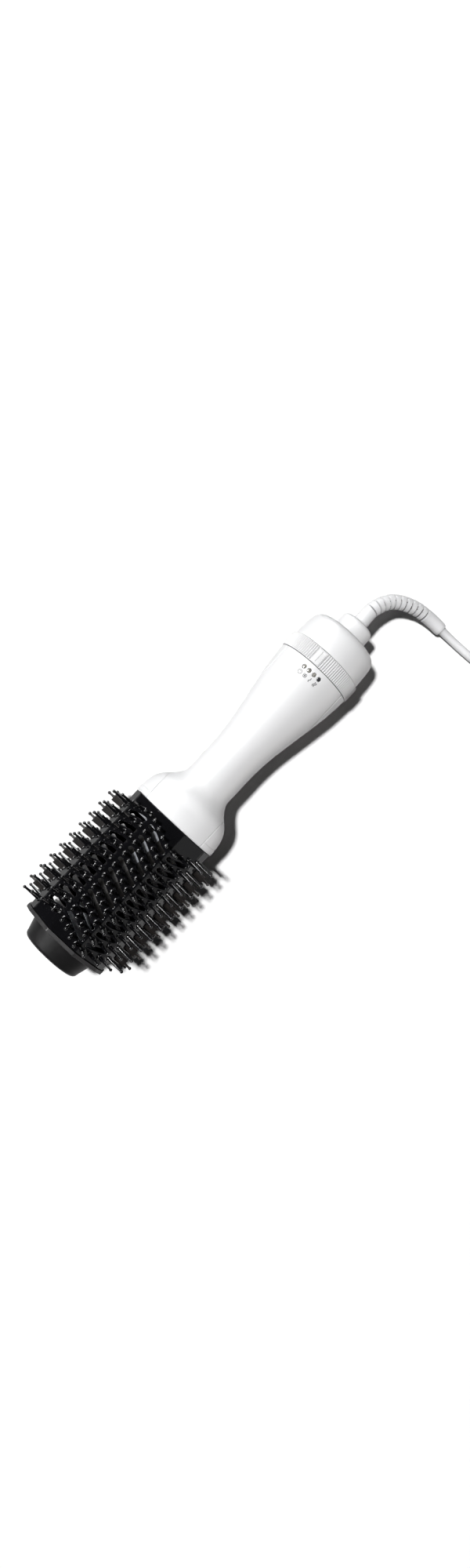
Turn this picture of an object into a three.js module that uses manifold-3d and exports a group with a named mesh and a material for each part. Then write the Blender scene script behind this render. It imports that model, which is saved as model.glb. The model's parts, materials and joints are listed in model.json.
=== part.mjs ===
// Hot air brush with an oval barrel, a rotary switch ring and a swivel cord.
// Millimetres. The brush is drawn about its own axis: +X runs from the nose to the cord, +Z to the
// front face. At the end it is laid on the table, on its back bristles and its ring.
import * as THREE from 'three';
import { mergeVertices } from 'three/addons/utils/BufferGeometryUtils.js';
import Module from 'manifold-3d';

const wasm = await Module();
wasm.setup();

// ---------------------------------------------------------------- driving dimensions
const GAP = 0.3; // between parts that touch
const WALL = 2; // moulded shells

const NOSE_X = -176.3; // flat end of the nose cap
const CAP_X = -159.7; // cap meets flange
const FLANGE_X = [-159.4, -156.2];
const BARREL_X = [-155.9, -36]; // bristle barrel
const MOUTH_X = -35.4; // handle mouth
const RING_X = [123.6, 136.6]; // switch ring
const HANDLE_END_X = 123.2;
const END_CAP_X = [137, 162];
const COLLAR_X = [162.3, 176.3];
const HUB_END_X = 177.4; // the swivel hub comes this far out of the collar

const HEAD_HALF_WIDTH = 37.5;
const HEAD_HALF_DEPTH = 25;
const FACE_HALF = 13.4; // flat front face of the barrel
const SEAM = [33, 11.5]; // y, z where a barrel shell meets an edge strip
const EDGE_HALF = 5; // flat outer edge of the strip

const ROWS = 10; // bristle rows along the barrel
const ROW_PITCH = 11.03;
const LAST_ROW_X = -47.5;
const WAVE = 4.8; // the rows and slots follow a wave of this height
const WAVE_HALF_LENGTH = 32;
const PIN_Y = [3.2, 9.7, 16.1, 22.6, 29]; // both sides of the middle
const PIN_LENGTH = 15.7;
const PIN_LEAN = 75; // degrees, at the seam
const SLOT_HALF = 1.7;
const SLOT_BANDS = [[-31, -14.8], [-12.1, 12.1], [14.8, 31]]; // y, from and to
const TUFT_REACH = 10.3;
const TUFT_HALF = [2.6, 2]; // along X and Z
const LONG_PIN_LENGTH = 16; // out of the middle of each tuft

const RING_RADIUS = 33.3;
const SLEEVE_RADIUS = 29.3;
const POINTER_ANGLE = -6.5; // degrees round from the top, towards -Y positive
const LED_ANGLES = [-13.4, -4.45, 4.45, 13.4];
const LED_X = 117.7;
const LED_RADIUS = 1.6;

// half width of the handle along its length: mouth, shoulders, neck, grip, ring end
const HANDLE_WIDTHS = [
  [MOUTH_X, 38.6], [-27, 37.9], [-19, 36], [-12.5, 31.9], [-6, 25.4], [1, 21], [9, 20.3],
  [31, 20.4], [50, 21.8], [68, 24.7], [86, 27.9], [104, 30.8], [HANDLE_END_X, 32.5],
];
const MOUTH_HALF_DEPTH = 27.4;
const SQUEEZE_X = [-22, 6]; // oval before the first, round after the second
const FRONT_PANEL_HALF = 28.2; // the front shell's width across the shoulders

const CORD_RADIUS = 3.5;
const COIL_CENTRE = [280, -116];
const COIL_RADII = [24.5, 52.5];
const COIL_HEIGHT = 21;
const PLUG = { length: 38, width: 25, depth: 18, offset: 38.2 };
const BLADE = { length: 17, halfWidth: 3.2, halfThick: 0.75, offset: 6.35 };

const radians = THREE.MathUtils.degToRad;

// ---------------------------------------------------------------- materials
const FINISHES = {
  white_shell: [0xf1f1f0, 0.32, 0],
  white_ring: [0xe9e9e8, 0.42, 0],
  gloss_black: [0x101012, 0.18, 0],
  satin_black: [0x2a2a2c, 0.45, 0],
  tuft: [0x3b2f2b, 0.7, 0],
  clear_lens: [0x17171b, 0.15, 0],
  inner_plastic: [0x8b8f94, 0.6, 0],
  board: [0x1f5c38, 0.55, 0],
  mica: [0xb79e6c, 0.65, 0],
  heating_wire: [0x8d8a86, 0.4, 1],
  steel: [0xa9abae, 0.35, 1],
  brass: [0xb98f45, 0.35, 1],
  cord_white: [0xe6e6e4, 0.5, 0],
};

function finish(slot) {
  const [color, roughness, metalness] = FINISHES[slot];
  return new THREE.MeshStandardMaterial({ name: slot, color, roughness, metalness });
}

// ---------------------------------------------------------------- shape helpers
// A closed geometry as a solid with its faces pointing out.
function solid(geometry) {
  const bare = geometry.clone();
  bare.deleteAttribute('normal');
  bare.deleteAttribute('uv');
  const merged = mergeVertices(bare, 1e-4);
  const points = new Float32Array(merged.attributes.position.array);
  const corner = (i) => new THREE.Vector3().fromArray(points, 3 * i);
  const triangles = [];
  let volume = 0;
  for (let i = 0; i < merged.index.count; i += 3) {
    const [a, b, c] = [0, 1, 2].map((k) => merged.index.getX(i + k));
    if (a === b || b === c || c === a) continue;
    triangles.push(a, b, c);
    volume += corner(a).dot(corner(b).cross(corner(c)));
  }
  if (volume < 0) triangles.reverse();
  const mesh = new wasm.Mesh({
    numProp: 3, vertProperties: points, triVerts: new Uint32Array(triangles),
  });
  return new wasm.Manifold(mesh);
}

function geometryOf(body) {
  const mesh = body.getMesh();
  const geometry = new THREE.BufferGeometry();
  geometry.setAttribute('position', new THREE.BufferAttribute(mesh.vertProperties, 3));
  geometry.setIndex(new THREE.BufferAttribute(mesh.triVerts, 1));
  return geometry;
}

const join = (...bodies) => bodies.reduce((whole, body) => whole.add(body));
const cut = (body, ...tools) => tools.reduce((whole, tool) => whole.subtract(tool), body);

// Turned about the X axis from [x, radius] points: a closed loop, or ending on the axis.
function turned(profile, segments = 32) {
  const points = profile.map(([x, r]) => new THREE.Vector2(r, x));
  return new THREE.LatheGeometry(points, segments).rotateZ(-Math.PI / 2);
}

// A tube between two radii, turned about X.
function pipe([from, to], outer, inner, segments = 28) {
  return turned([[from, inner], [from, outer], [to, outer], [to, inner], [from, inner]], segments);
}

// An outline of [y, z] points pushed along X.
const ALONG_X = new THREE.Matrix4().makeBasis(
  new THREE.Vector3(0, 1, 0), new THREE.Vector3(0, 0, 1), new THREE.Vector3(1, 0, 0));
function prism(outline, [from, to]) {
  const shape = new THREE.Shape(outline.map(([y, z]) => new THREE.Vector2(y, z)));
  const pushed = new THREE.ExtrudeGeometry(shape, { depth: to - from, bevelEnabled: false });
  return pushed.applyMatrix4(ALONG_X).translate(from, 0, 0);
}

function block([x0, x1], [y0, y1], [z0, z1]) {
  const box = new THREE.BoxGeometry(x1 - x0, y1 - y0, z1 - z0);
  return box.translate((x0 + x1) / 2, (y0 + y1) / 2, (z0 + z1) / 2);
}

// A straight round bar from one point to another, its radius changing evenly.
function bar(from, to, startRadius, endRadius = startRadius, sides = 12) {
  const start = new THREE.Vector3(...from);
  const way = new THREE.Vector3(...to).sub(start);
  const turn = new THREE.Quaternion().setFromUnitVectors(
    new THREE.Vector3(0, 1, 0), way.clone().normalize());
  const cylinder = new THREE.CylinderGeometry(endRadius, startRadius, way.length(), sides);
  const middle = start.add(way.multiplyScalar(0.5));
  return cylinder.applyQuaternion(turn).translate(middle.x, middle.y, middle.z);
}

function circle(radius, sides) {
  const corners = [];
  for (let i = 0; i < sides; i += 1) {
    const angle = (2 * Math.PI * i) / sides;
    corners.push(new THREE.Vector2(radius * Math.cos(angle), radius * Math.sin(angle)));
  }
  return new THREE.Shape(corners);
}

// A round tube along a smooth curve through the points.
function tube(points, radius, sides, steps) {
  const extrudePath = new THREE.CatmullRomCurve3(points.map((p) => new THREE.Vector3(...p)));
  return new THREE.ExtrudeGeometry(circle(radius, sides), { steps, extrudePath });
}

// The point at a distance from the axis and an angle round it, as [x, y, z].
function round(x, radius, degrees) {
  const angle = radians(degrees);
  return [x, -radius * Math.sin(angle), radius * Math.cos(angle)];
}

const brush = new THREE.Group();
const model = new THREE.Group();
model.add(brush);

function add(name, slot, body, group = brush) {
  const geometry = body.isBufferGeometry ? geometryOf(solid(body)) : geometryOf(body);
  const mesh = new THREE.Mesh(geometry, finish(slot));
  mesh.name = name;
  group.add(mesh);
  return mesh;
}

// ---------------------------------------------------------------- barrel and bristles
const rowX = (row) => LAST_ROW_X - (ROWS - 1 - row) * ROW_PITCH;
const waveX = (y) => WAVE * Math.sin((Math.PI * y) / WAVE_HALF_LENGTH);

function faceHeight(y) {
  const out = Math.max(0, Math.abs(y) - FACE_HALF);
  return HEAD_HALF_DEPTH - (out * (HEAD_HALF_DEPTH - SEAM[1])) / (SEAM[0] - FACE_HALF);
}

// A moulded pin that stands on the barrel at x, y, z and leans outwards.
function pin([x, y, z], leanDegrees, length = PIN_LENGTH) {
  const lean = radians(leanDegrees) * Math.sign(y);
  const way = [0, Math.sin(lean), Math.cos(lean)];
  const at = (distance) => [x, y + distance * way[1], z + distance * way[2]];
  const [rootRadius, tipRadius, sunk, sides] = [2.3, 1.2, 1, 4];
  return solid(bar(at(-sunk), at(length), rootRadius, tipRadius, sides));
}

// One air slot that follows the wave between two rows, from y0 to y1.
function slot(centreX, y0, y1) {
  const stations = 4;
  const edge = (side) => Array.from({ length: stations }, (_, i) => {
    const y = y0 + ((y1 - y0) * i) / (stations - 1);
    return new THREE.Vector2(centreX + waveX(y) + side * SLOT_HALF, y);
  });
  const shape = new THREE.Shape([...edge(1), ...edge(-1).reverse()]);
  const depth = HEAD_HALF_DEPTH + 1;
  return solid(new THREE.ExtrudeGeometry(shape, { depth, bevelEnabled: false }));
}

// The front half of the barrel: an arched plate with air slots and moulded pins.
function barrelShell() {
  const outer = [[-SEAM[0], SEAM[1]], [-FACE_HALF, HEAD_HALF_DEPTH],
    [FACE_HALF, HEAD_HALF_DEPTH], [SEAM[0], SEAM[1]]];
  const inner = [[31.86, 9.86], [12.8, HEAD_HALF_DEPTH - WALL],
    [-12.8, HEAD_HALF_DEPTH - WALL], [-31.86, 9.86]];
  let shell = solid(prism([...outer, ...inner], BARREL_X));
  for (let cell = 0; cell < ROWS - 1; cell += 1) {
    const x = rowX(cell) + ROW_PITCH / 2;
    shell = cut(shell, ...SLOT_BANDS.map(([y0, y1]) => slot(x, y0, y1)));
  }
  const pins = [];
  for (let row = 0; row < ROWS; row += 1) {
    for (const y of PIN_Y.flatMap((value) => [-value, value])) {
      const slope = Math.max(0, (Math.abs(y) - FACE_HALF) / (SEAM[0] - FACE_HALF));
      pins.push(pin([rowX(row) + waveX(y), y, faceHeight(y)], PIN_LEAN * slope ** 0.8));
    }
  }
  return join(shell, ...pins);
}

// The strip along one edge of the barrel: brush tufts with a long pin in each, and two rows of pins.
function bristleStrip(side) {
  const half = EDGE_HALF;
  const wide = HEAD_HALF_WIDTH;
  const outline = [[33.17, 11.25], [wide, half], [wide, -half], [33.17, -11.25],
    [32, -9.6], [wide - WALL, -4.4], [wide - WALL, 4.4], [32, 9.6]];
  const pieces = [];
  for (let cell = 0; cell < ROWS - 1; cell += 1) {
    const x = rowX(cell) + ROW_PITCH / 2;
    const [halfX, halfZ] = TUFT_HALF;
    pieces.push(solid(block([x - halfX, x + halfX], [wide - 1, wide + TUFT_REACH], [-halfZ, halfZ])));
    pieces.push(solid(bar([x, wide, 0], [x, wide + LONG_PIN_LENGTH, 0], 1.2, 0.9, 4)));
  }
  for (let row = 0; row < ROWS; row += 1) {
    const [y, z, lean] = [35.4, 8, 72];
    const x = rowX(row) + waveX(side * y);
    pieces.push(pin([x, y, z], lean), pin([x, y, -z], 180 - lean));
  }
  const strip = join(solid(prism(outline, BARREL_X)), ...pieces);
  return side > 0 ? strip : strip.mirror([0, 1, 0]);
}

const shell = barrelShell();
add('barrel_front_shell', 'gloss_black', shell);
add('barrel_back_shell', 'gloss_black', shell).rotation.x = Math.PI;
add('bristle_strip_left', 'tuft', bristleStrip(1));
add('bristle_strip_right', 'tuft', bristleStrip(-1));

// ---------------------------------------------------------------- nose
const FLANGE_SCALE = 1.03;
const headOutline = [[SEAM[0], SEAM[1]], [FACE_HALF, HEAD_HALF_DEPTH],
  [-FACE_HALF, HEAD_HALF_DEPTH], [-SEAM[0], SEAM[1]], [-HEAD_HALF_WIDTH, EDGE_HALF],
  [-HEAD_HALF_WIDTH, -EDGE_HALF], [-SEAM[0], -SEAM[1]], [-FACE_HALF, -HEAD_HALF_DEPTH],
  [FACE_HALF, -HEAD_HALF_DEPTH], [SEAM[0], -SEAM[1]], [HEAD_HALF_WIDTH, -EDGE_HALF],
  [HEAD_HALF_WIDTH, EDGE_HALF]];
const flange = prism(headOutline, FLANGE_X).scale(1, FLANGE_SCALE, FLANGE_SCALE);
const flangeHole = pipe([CAP_X - 1, FLANGE_X[1] + 1], 12, 0, 24);
add('nose_flange', 'satin_black', cut(solid(flange), solid(flangeHole)));

const NOSE_FLATNESS = 0.62;
add('nose_cap', 'satin_black', turned([
  [NOSE_X, 0], [NOSE_X, 22], [NOSE_X + 0.5, 24.2], [NOSE_X + 1.8, 25.8], [CAP_X, 29.6],
  [CAP_X, 27.4], [NOSE_X + 3.5, 22.8], [NOSE_X + 2.2, 20], [NOSE_X + 2.2, 0],
]).scale(1, 1, NOSE_FLATNESS));

// ---------------------------------------------------------------- handle shells
// The handle is a turned shell squeezed in depth towards its mouth.
function squeeze(geometry) {
  const place = geometry.attributes.position;
  for (let i = 0; i < place.count; i += 1) {
    const towardsNeck = THREE.MathUtils.smoothstep(place.getX(i), ...SQUEEZE_X);
    const flat = MOUTH_HALF_DEPTH / HANDLE_WIDTHS[0][1];
    place.setZ(i, place.getZ(i) * (flat + (1 - flat) * towardsNeck));
  }
  return geometry;
}

const inside = HANDLE_WIDTHS.map(([x, r]) => [x, r - WALL]).reverse();
const HANDLE_SEGMENTS = 36;
const tubeProfile = [...HANDLE_WIDTHS, ...inside, HANDLE_WIDTHS[0]];
const fillProfile = [[MOUTH_X, 0], ...HANDLE_WIDTHS, [HANDLE_END_X, 0]];
const handleTube = solid(squeeze(turned(tubeProfile, HANDLE_SEGMENTS)));
const handleFill = solid(squeeze(turned(fillProfile, HANDLE_SEGMENTS)));
const SHOULDER_END_X = -9;
const frontHalf = join(
  solid(block([MOUTH_X - 1, 0], [-FRONT_PANEL_HALF, FRONT_PANEL_HALF], [0, 60])),
  solid(block([SHOULDER_END_X, HANDLE_END_X + 1], [-60, 60], [0, 60])));
const frontHalfWithGap = join(
  solid(block([MOUTH_X - 2, 0], [-FRONT_PANEL_HALF - GAP, FRONT_PANEL_HALF + GAP], [-GAP, 61])),
  solid(block([SHOULDER_END_X - GAP, HANDLE_END_X + 2], [-61, 61], [-GAP, 61])));

const SCREW_X = -18;
const SCREW_YS = [21, -21];
const SEAT_Z = -15.5; // the screw heads sit here
const SCREW_TOP_Z = 13;
const SCREW_RADIUS = 1.6;
const HEAD_RADIUS = 2.9;
const BOSS_RADIUS = 4;
const upright = (y, from, to, radius, sides = 12) => (
  solid(bar([SCREW_X, y, from], [SCREW_X, y, to], radius, radius, sides)));
const screwHoles = SCREW_YS.flatMap((y) => [
  upright(y, -30, SEAT_Z, HEAD_RADIUS + GAP),
  upright(y, SEAT_Z - 1, SCREW_TOP_Z + 1, SCREW_RADIUS + GAP)]);
const bosses = SCREW_YS.map((y) => upright(y, 9, 30, BOSS_RADIUS).intersect(handleFill));
const seats = SCREW_YS.map((y) => (
  upright(y, -30, SEAT_Z + 3, BOSS_RADIUS).intersect(handleFill)));
const ledPoint = (angle, radius) => round(LED_X, radius, angle);
const ledHoles = LED_ANGLES.map((angle) => (
  solid(bar(ledPoint(angle, 27), ledPoint(angle, 36), LED_RADIUS + GAP, LED_RADIUS + GAP, 8))));

add('handle_front_shell', 'white_shell',
  cut(join(handleTube.intersect(frontHalf), ...bosses), ...ledHoles, ...screwHoles));
add('handle_back_shell', 'white_shell',
  cut(join(cut(handleTube, frontHalfWithGap), ...seats), ...screwHoles));

['handle_screw_left', 'handle_screw_right'].forEach((name, i) => {
  add(name, 'steel', join(
    upright(SCREW_YS[i], SEAT_Z - 2.3, SEAT_Z - GAP, HEAD_RADIUS),
    upright(SCREW_YS[i], SEAT_Z - 1, SCREW_TOP_Z, SCREW_RADIUS, 8)));
});

['power', 'cool', 'low', 'high'].forEach((name, i) => {
  const angle = LED_ANGLES[i];
  add(`indicator_lens_${name}`, 'clear_lens',
    bar(ledPoint(angle, 27.8), ledPoint(angle, 31.9), LED_RADIUS, LED_RADIUS, 8));
});

// The oval spigot that holds the barrel in the handle's mouth.
const SPIGOT_X = [-42, -24];
const SPIGOT_FLATNESS = 0.597;
add('barrel_spigot', 'inner_plastic', pipe(SPIGOT_X, 34, 32, 32).scale(1, 1, SPIGOT_FLATNESS));

// ---------------------------------------------------------------- switch ring
const ringBody = solid(turned([
  [RING_X[0], SLEEVE_RADIUS + 0.4], [RING_X[0], RING_RADIUS - 0.6],
  [RING_X[0] + 0.6, RING_RADIUS], [RING_X[1] - 0.6, RING_RADIUS],
  [RING_X[1], RING_RADIUS - 0.6], [RING_X[1], SLEEVE_RADIUS + 0.4],
  [RING_X[0], SLEEVE_RADIUS + 0.4],
], 40));
const RING_MIDDLE = (RING_X[0] + RING_X[1]) / 2;
const pointer = solid(block([RING_MIDDLE - 4.5, RING_MIDDLE + 4.5], [-0.5, 0.5],
  [RING_RADIUS - 0.5, RING_RADIUS + 1]).rotateX(radians(POINTER_ANGLE)));
add('switch_ring', 'white_ring', cut(ringBody, pointer));

const WIPER_X = [RING_MIDDLE - 3, RING_MIDDLE + 3];
add('switch_wiper', 'inner_plastic', block(WIPER_X, [-2, 2], [26.3, SLEEVE_RADIUS]));

// The fixed sleeve that the ring turns on, with windows for the wiper and for the click spring.
const SLEEVE_X = [120, 146];
const SWITCH_X = [121, 138];
const BOARD_X = [88, 119.5];
const wiperWindow = block([WIPER_X[0] - 1.5, WIPER_X[1] + 1.5], [-15, 8], [18, 32]);
const springWindow = block([WIPER_X[0] - 1, WIPER_X[1] + 1], [-8, 8], [-32, -18]);
add('ring_sleeve', 'inner_plastic', cut(solid(pipe(SLEEVE_X, SLEEVE_RADIUS, 27.2)),
  solid(wiperWindow), solid(springWindow)));
add('click_spring', 'steel', block(WIPER_X, [-7.4, 7.4], [-28.2, -27.7]));
add('rotary_switch', 'inner_plastic', block(SWITCH_X, [-8, 8], [15.6, 22.5]));
add('control_board', 'board', block(BOARD_X, [-9, 9], [22.4, 23.8]));

// ---------------------------------------------------------------- end cap and air inlet
const INLET_SLOTS = 12;
const INLET_RADII = [15.6, 21.6];
const INLET_HALF = 1.2;
let endCap = solid(turned([
  [END_CAP_X[0], 29.6], [END_CAP_X[0], 31.6], [153.9, 30.6], [157.4, 29.9], [160.3, 28.1],
  [161.8, 25.4], [END_CAP_X[1], 22.5], [END_CAP_X[1], 8], [160, 8], [160, 24], [158.6, 26.6],
  [154, 28.4], [147, 29.6], [END_CAP_X[0], 29.6],
]));
for (let i = 0; i < INLET_SLOTS; i += 1) {
  const inlet = block([END_CAP_X[1] - 3, END_CAP_X[1] + 1], [-INLET_HALF, INLET_HALF], INLET_RADII);
  endCap = cut(endCap, solid(inlet.rotateX((2 * Math.PI * (i + 0.5)) / INLET_SLOTS)));
}
add('rear_end_cap', 'white_shell', endCap);
add('inlet_filter', 'steel', pipe([157, 157.8], 26, 9.5, 24));

// ---------------------------------------------------------------- fan
const FAN_X = 98;
const HOUSING_X = [70, 108];
const HOUSING_RADII = [21.8, 20];
const MOUNT_X = [74, 86]; // a ring on four vanes holds the motor
const MOUNT_RADII = [14.8, 13.4];
const MOTOR_X = [66, 90];
const MOTOR_RADIUS = 13;
const SHAFT_X = [64, 104];
const SHAFT_RADIUS = 1.2;
const vane = (angle) => solid(block(MOUNT_X, [-0.6, 0.6], [13.8, 20.6]).rotateX(radians(angle)));
add('fan_housing', 'inner_plastic', join(
  solid(pipe(HOUSING_X, ...HOUSING_RADII)), solid(pipe(MOUNT_X, ...MOUNT_RADII, 24)),
  ...[45, 135, 225, 315].map(vane)));
add('motor', 'steel', pipe(MOTOR_X, MOTOR_RADIUS, SHAFT_RADIUS + 0.4, 24));
add('motor_shaft', 'steel',
  bar([SHAFT_X[0], 0, 0], [SHAFT_X[1], 0, 0], SHAFT_RADIUS, SHAFT_RADIUS, 8));

const BLADES = 7;
const BLADE_PITCH = radians(40);
const FAN_HUB_RADIUS = 7;
let impeller = solid(pipe([FAN_X - 5, FAN_X + 5], FAN_HUB_RADIUS, SHAFT_RADIUS + GAP, 16));
for (let i = 0; i < BLADES; i += 1) {
  const blade = block([-0.5, 0.5], [-3.6, 3.6], [6.4, 18.8]).rotateZ(BLADE_PITCH);
  blade.translate(FAN_X, 0, 0).rotateX((2 * Math.PI * i) / BLADES);
  impeller = join(impeller, solid(blade));
}
add('fan_impeller', 'inner_plastic', impeller);

// ---------------------------------------------------------------- heater in the barrel
const HEATER_X = [-126, -50];
const FRAME_HALF = 13;
add('heater_sleeve', 'mica', pipe(HEATER_X, 17.4, 16.8, 24));
const plateX = [HEATER_X[0] + 3, HEATER_X[1] - 3];
add('heater_frame', 'mica', join(
  solid(block(plateX, [-FRAME_HALF, FRAME_HALF], [-0.5, 0.5])),
  solid(block(plateX, [-0.5, 0.5], [-FRAME_HALF, FRAME_HALF]))));

function heaterCoil() {
  const [turns, stepsPerTurn, radius] = [6, 8, 15];
  const [start, end] = [plateX[0] + 5, plateX[1] - 14];
  const points = [];
  for (let i = 0; i <= turns * stepsPerTurn; i += 1) {
    const part = i / (turns * stepsPerTurn);
    points.push(round(start + (end - start) * part, radius, 360 * turns * part));
  }
  return tube(points, 0.6, 4, turns * stepsPerTurn);
}
add('heater_coil', 'heating_wire', heaterCoil());
add('thermostat', 'steel', bar([-60, 6, 1.2], [-60, 6, 6.2], 4.5, 4.5, 16));
add('thermal_fuse', 'steel', bar([-66, -6, 2.8], [-54, -6, 2.8], 1.8, 1.8, 10));

// the spider that carries the heater in the spigot's end of the barrel
const CARRIER_X = [-49, -44];
const CARRIER_RADII = [18.6, 16];
const arms = [block(CARRIER_X, [-1, 1], [-19.2, 19.2]), block(CARRIER_X, [-30, 30], [-1, 1])];
const carrierHole = pipe([CARRIER_X[0] - 1, CARRIER_X[1] + 1], CARRIER_RADII[1], 0, 24);
add('heater_carrier', 'inner_plastic', cut(
  join(solid(pipe(CARRIER_X, ...CARRIER_RADII, 24)), ...arms.map(solid)), solid(carrierHole)));

// the cone at the nose end that turns the air out through the slots
add('air_deflector', 'inner_plastic', turned([
  [-153, 0], [-153, 27], [-151, 27], [-134, 3], [-133, 0],
], 24).scale(1, 1, NOSE_FLATNESS));

['heater_lead_live', 'heater_lead_neutral'].forEach((name, i) => {
  const y = i === 0 ? 8 : -8;
  add(name, 'cord_white', tube(
    [[62, y, 6], [40, y, 8], [8, y, 6], [-24, y, 8], [-42, y, 10]], 1.1, 6, 12));
});

// ---------------------------------------------------------------- cord swivel
add('swivel_collar', 'white_shell', turned([
  [152, 5.2], [152, 7.6], [COLLAR_X[0], 7.6], [COLLAR_X[0], 14.3], [171.5, 14.3],
  [174.8, 13.2], [COLLAR_X[1], 10.5], [COLLAR_X[1], 6.4], [174.3, 6.4], [174.3, 10.4],
  [164.3, 10.4], [164.3, 5.2], [152, 5.2],
], 24));
add('slip_contacts', 'brass', turned([
  [144, 0], [144, 9], [146, 9], [146, 4], [155.6, 4], [155.6, 0],
], 16));
add('swivel_hub', 'inner_plastic', turned([
  [156, 0], [156, 4.6], [165.2, 4.6], [165.2, 9.6], [173.7, 9.6], [173.7, 5.9],
  [HUB_END_X, 5.9], [HUB_END_X, 0],
], 24));

// ---------------------------------------------------------------- laid on the table
// The pin tips behind the barrel stand further out than the ring, so the brush lies nose up.
const tipRadius = HEAD_HALF_DEPTH + PIN_LENGTH;
const restSpan = RING_X[1] - LAST_ROW_X - WAVE;
brush.rotation.y = Math.atan((tipRadius - RING_RADIUS) / restSpan);
brush.updateMatrixWorld(true);
const box = new THREE.Box3();
brush.traverse((piece) => {
  if (piece.isMesh) box.union(new THREE.Box3().setFromObject(piece, true));
});
const middle = box.getCenter(new THREE.Vector3());
brush.position.set(-middle.x, -middle.y, -box.min.z);
brush.updateMatrixWorld(true);

// ---------------------------------------------------------------- cord, on the table
const cordGroup = new THREE.Group();
model.add(cordGroup);
const exit = brush.localToWorld(new THREE.Vector3(HUB_END_X + GAP, 0, 0));
const exitWay = new THREE.Vector3(1, 0, 0).applyEuler(brush.rotation);
const along = (distance) => exit.clone().addScaledVector(exitWay, distance).toArray();

// A tapered tube on a curve: a straight cylinder laid along it.
function taperedTube(points, startRadius, endRadius, sides, steps) {
  const curve = new THREE.CatmullRomCurve3(points.map((p) => new THREE.Vector3(...p)));
  const geometry = new THREE.CylinderGeometry(endRadius, startRadius, 1, sides, steps);
  const place = geometry.attributes.position;
  for (let i = 0; i < place.count; i += 1) {
    const part = THREE.MathUtils.clamp(place.getY(i) + 0.5, 0, 1);
    const centre = curve.getPointAt(part);
    const way = curve.getTangentAt(part);
    const side = new THREE.Vector3(0, 0, 1).cross(way).normalize();
    const up = way.clone().cross(side);
    centre.addScaledVector(side, place.getX(i)).addScaledVector(up, place.getZ(i));
    place.setXYZ(i, centre.x, centre.y, centre.z);
  }
  return geometry;
}

const RELIEF_END = [221.6, -51.4, 6.2];
const RELIEF_RADII = [6.2, 5.6];
add('strain_relief', 'cord_white', taperedTube(
  [along(0), along(14), [207, -6.5, 25], [217, -21, 17.5], [221, -37, 10], RELIEF_END],
  ...RELIEF_RADII, 12, 16), cordGroup);

const [coilX, coilY] = COIL_CENTRE;
const cordStart = [RELIEF_END[0] + 0.05, RELIEF_END[1] - GAP - 0.1, RELIEF_END[2] - 0.1];
add('cord', 'cord_white', tube(
  [cordStart, [221.8, -62, 4.2], [222, -74, CORD_RADIUS], [222.6, -87, CORD_RADIUS],
    [224.2, -100, CORD_RADIUS]], CORD_RADIUS, 10, 8), cordGroup);

const coilRing = pipe([0, COIL_HEIGHT], COIL_RADII[1], COIL_RADII[0], 28);
add('cord_coil', 'cord_white', coilRing.rotateY(-Math.PI / 2).translate(coilX, coilY, 0),
  cordGroup);

// The plug lies on top of the coil, and the cord's end comes round on the coil into it.
const plugX = coilX + PLUG.offset;
const plugBase = COIL_HEIGHT + GAP;
const plugZ = plugBase + PLUG.depth / 2;
const glandY = [coilY - 4, coilY + 10];
const GLAND_RADII = [4.4, 6.4];
const plugY = [glandY[1] + GAP, glandY[1] + GAP + PLUG.length];
const tailZ = plugBase + CORD_RADIUS;
add('cord_tail', 'cord_white', tube(
  [[coilX - 13, coilY - 36.2, tailZ], [coilX + 2, coilY - 38.4, tailZ],
    [coilX + 15.5, coilY - 35.2, tailZ + 0.5], [coilX + 27, coilY - 27.5, tailZ + 2.2],
    [coilX + 34.6, coilY - 18, tailZ + 4.2], [plugX - 0.3, coilY - 9.4, plugZ - 0.3],
    [plugX, glandY[0] - GAP - 0.1, plugZ]],
  CORD_RADIUS, 10, 12), cordGroup);
add('plug_gland', 'cord_white', bar([plugX, glandY[0], plugZ], [plugX, glandY[1], plugZ],
  ...GLAND_RADII, 12), cordGroup);
add('plug_body', 'cord_white', block([plugX - PLUG.width / 2, plugX + PLUG.width / 2], plugY,
  [plugBase, plugBase + PLUG.depth]), cordGroup);
['plug_blade_left', 'plug_blade_right'].forEach((name, i) => {
  const x = plugX + (i === 0 ? -BLADE.offset : BLADE.offset);
  add(name, 'brass', block([x - BLADE.halfThick, x + BLADE.halfThick],
    [plugY[1] + GAP, plugY[1] + GAP + BLADE.length],
    [plugZ - BLADE.halfWidth, plugZ + BLADE.halfWidth]), cordGroup);
});

export default model;
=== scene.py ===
"""Looks of a hot air brush: an oval bristle barrel, a white handle with a rotary ring, and a cord.

Lengths are in millimetres until a piece is placed. The brush is drawn about its own axis: +X runs
from the nose to the cord and +Z to the front face. Cord pieces are drawn where they lie on the table.
"""
import json
import random
from math import cos, degrees as to_degrees, pi, radians, sin, tan

import bmesh
import bpy
import numpy as np
from mathutils import Matrix, Vector
from mathutils.geometry import delaunay_2d_cdt


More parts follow.
